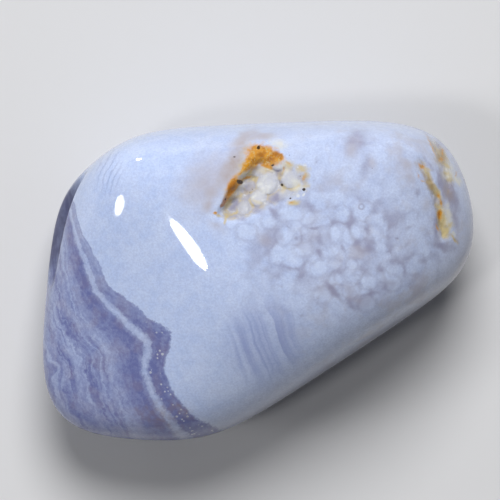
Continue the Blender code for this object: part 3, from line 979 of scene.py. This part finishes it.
class StoneColours(bpy.types.PropertyGroup):
    blue: tint("Blue", "The pale periwinkle body of the stone", (0.47, 0.57, 0.82, 1))
    grey: tint("Grey blue", "The greyer body towards the narrow end", (0.47, 0.54, 0.73, 1))
    pale: tint("Pale", "The palest clouds and cells", (0.6, 0.68, 0.87, 1))
    stripe: tint("Stripe", "The blue stripes near the front", (0.25, 0.3, 0.55, 1))
    violet: tint("Violet", "The dark bands", (0.14, 0.16, 0.36, 1))
    mauve: tint("Mauve", "The warmer patches of the dark bands", (0.175, 0.175, 0.335, 1))
    # Also paints shade in the hollows at the right end.
    gap: tint("Gap", "The grey gaps between the cells", (0.26, 0.255, 0.365, 1))
    haze: tint("Haze", "The warm haze round the pocket", (0.415, 0.385, 0.425, 1))
    crust: tint("Crust", "The grey lining of the chips", (0.37, 0.34, 0.345, 1))
    cream: tint("Cream", "The cream part of the lining", (0.66, 0.64, 0.54, 1))
    yellow: tint("Yellow", "The yellow stain", (0.54, 0.44, 0.22, 1))
    # Brown stain, and painted shade along the right end's steps.
    brown: tint("Brown", "The brown stain on steps and walls", (0.32, 0.22, 0.1, 1))
    # Painted shade: laid below the undercut's edge, where the stone lies in its own shadow.
    shade: tint("Shade", "The dark skin below the ledge", (0.045, 0.05, 0.115, 1))
    # Painted shade on the near and right flanks, with a warm grey tint.
    flank_shade: tint("Dusky", "The duller near and right flanks", (0.25, 0.22, 0.25, 1))
    ochre: tint("Ochre", "The orange ochre stain", (0.57, 0.255, 0.012, 1))
    rust: tint("Rust", "The darkest rusty stain", (0.33, 0.12, 0.018, 1))
    # Also the colour of the painted glints in the crust.
    frost_and_glints: tint("Frost", "The whitish lumps and specks", (0.62, 0.65, 0.7, 1))
    speck: tint("Speck", "The dark specks", (0.035, 0.02, 0.012, 1))


class StageSettings(bpy.types.PropertyGroup):
    floor: tint("Floor", "The pale floor", (0.62, 0.62, 0.63, 1))
    floor_grain: tint("Floor grain", "The floor's faint grain", (0.6, 0.6, 0.6, 1))
    floor_size: distance("Floor size", "The side of the square floor", 1.2)
    view_width: distance("View width", "How much of the floor the camera sees", 37.21 * MM)
    view_distance: distance("Camera height", "From the camera to the stone's widest level", 0.8)
    key_power: FloatProperty(
        name="Key power", description="Power of the large soft lamp", default=3.8, min=0
    )
    air: FloatProperty(name="Air", description="Light all round", default=0.1, min=0)
    air_colour: tint("Air colour", "Colour of the light all round", (0.95, 0.97, 1.0, 1))


# The operators and the panel


def tints_of(settings, names):
    return {name: tuple(getattr(settings, name)) for name in names}


def finish_object(name, data, collection):
    obj = bpy.data.objects.new(name, data)
    collection.objects.link(obj)
    return obj


def new_collection(name):
    collection = bpy.data.collections.new(name)
    bpy.context.scene.collection.children.link(collection)
    return collection


class CHALCEDONY_OT_make_stone(bpy.types.Operator):
    """Makes the tumbled stone with its skin, markings and crust"""

    bl_idname = "chalcedony.make_stone"
    bl_label = "Make stone"

    def execute(self, context):
        if "stone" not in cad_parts:
            raise RuntimeError("the frame has no stone")
        sizes, colours = context.scene.stone_sizes, context.scene.stone_colours
        data = stone_mesh(sizes)
        lay_masks(data, sizes)
        data.materials.append(chalcedony(tints_of(colours, StoneColours.__annotations__)))
        stone = finish_object("polished_stone", data, new_collection("dressed stone"))
        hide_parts("stone")
        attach(stone, "root")
        return {"FINISHED"}


# The lamps: where each stands round the stone (bearing and height above the horizon, in
# degrees), its width and length in metres, and how bright its face is beside the key's.
LAMP_DISTANCE = 0.6
KEY_PLACE = (88, 55)
KEY_SIZE = (0.34, 0.34)
VIEW_MIDDLE = (-0.595 * MM, 2.27 * MM, 5.5 * MM)
HIGHLIGHTS = {
    "crescent lamp": (203, 62.8, 0.078, 0.085, 28.0),
    "left lamp": (187, 33.4, 0.115, 0.085, 20.0),
    "corner lamp": (117, 7, 0.05, 0.08, 30.0),
}


def add_lamp(name, collection, bearing, height, width, length, power, seen):
    """An area lamp that points at the stone. One that isn't seen leaves no reflection."""
    light = bpy.data.lights.new(name, "AREA")
    light.shape = "ELLIPSE"
    light.size, light.size_y = width, length
    light.energy = power
    lamp = finish_object(name, light, collection)
    way = Vector(facing(bearing, height))
    lamp.location = way * LAMP_DISTANCE + Vector(VIEW_MIDDLE)
    lamp.rotation_euler = way.to_track_quat("Z", "Y").to_euler()
    lamp.visible_glossy = seen
    return lamp


class CHALCEDONY_OT_set_stage(bpy.types.Operator):
    """Sets the pale floor, the soft lamps and the camera straight above the stone"""

    bl_idname = "chalcedony.set_stage"
    bl_label = "Set stage"

    def execute(self, context):
        stage = context.scene.stage_settings
        collection = new_collection("stage")
        half = stage.floor_size / 2
        board = bpy.data.meshes.new("floor")
        corners = [(-half, -half, 0), (half, -half, 0), (half, half, 0), (-half, half, 0)]
        board.from_pydata(corners, [], [(0, 1, 2, 3)])
        board.materials.append(floor_finish(tints_of(stage, ("floor", "floor_grain"))))
        finish_object("floor", board, collection)

        add_lamp("key lamp", collection, *KEY_PLACE, *KEY_SIZE, stage.key_power, False)
        for name, (bearing, height, width, length, bright) in HIGHLIGHTS.items():
            power = bright * math.pi * math.pi * width * length / 4
            add_lamp(name, collection, bearing, height, width, length, power, True)

        world = bpy.data.worlds.new("pale air")
        world.use_nodes = True
        glow = world.node_tree.nodes["Background"].inputs
        glow["Color"].default_value = stage.air_colour
        glow["Strength"].default_value = stage.air
        context.scene.world = world
        context.scene.view_settings.view_transform = "Standard"

        lens = bpy.data.cameras.new("camera")
        lens.lens = lens.sensor_width * stage.view_distance / stage.view_width
        lens.clip_start = 0.01
        camera = finish_object("camera", lens, collection)
        camera.location = Vector(VIEW_MIDDLE) + Vector((0, 0, stage.view_distance))
        context.scene.camera = camera
        return {"FINISHED"}


class CHALCEDONY_PT_panel(bpy.types.Panel):
    """Lists the pieces of the pebble and its stage"""

    bl_idname = "CHALCEDONY_PT_panel"
    bl_label = "Chalcedony pebble"
    bl_space_type = "VIEW_3D"
    bl_region_type = "UI"
    bl_category = "Chalcedony"

    def draw(self, context):
        for group in GROUPS:
            box = self.layout.box()
            settings = getattr(context.scene, group)
            for name in GROUPS[group].__annotations__:
                box.prop(settings, name)
        for operator in OPERATORS:
            self.layout.operator(operator.bl_idname)


GROUPS = {
    "stone_sizes": StoneSizes,
    "stone_colours": StoneColours,
    "stage_settings": StageSettings,
}
OPERATORS = (CHALCEDONY_OT_make_stone, CHALCEDONY_OT_set_stage)


def register():
    for kind in (*GROUPS.values(), *OPERATORS, CHALCEDONY_PT_panel):
        bpy.utils.register_class(kind)
    for name, kind in GROUPS.items():
        setattr(bpy.types.Scene, name, PointerProperty(type=kind))


def unregister():
    for name in GROUPS:
        delattr(bpy.types.Scene, name)
    for kind in (CHALCEDONY_PT_panel, *OPERATORS, *GROUPS.values()):
        bpy.utils.unregister_class(kind)


def main():
    register()
    bpy.ops.chalcedony.make_stone()
    bpy.ops.chalcedony.set_stage()


if __name__ == "__main__":
    main()
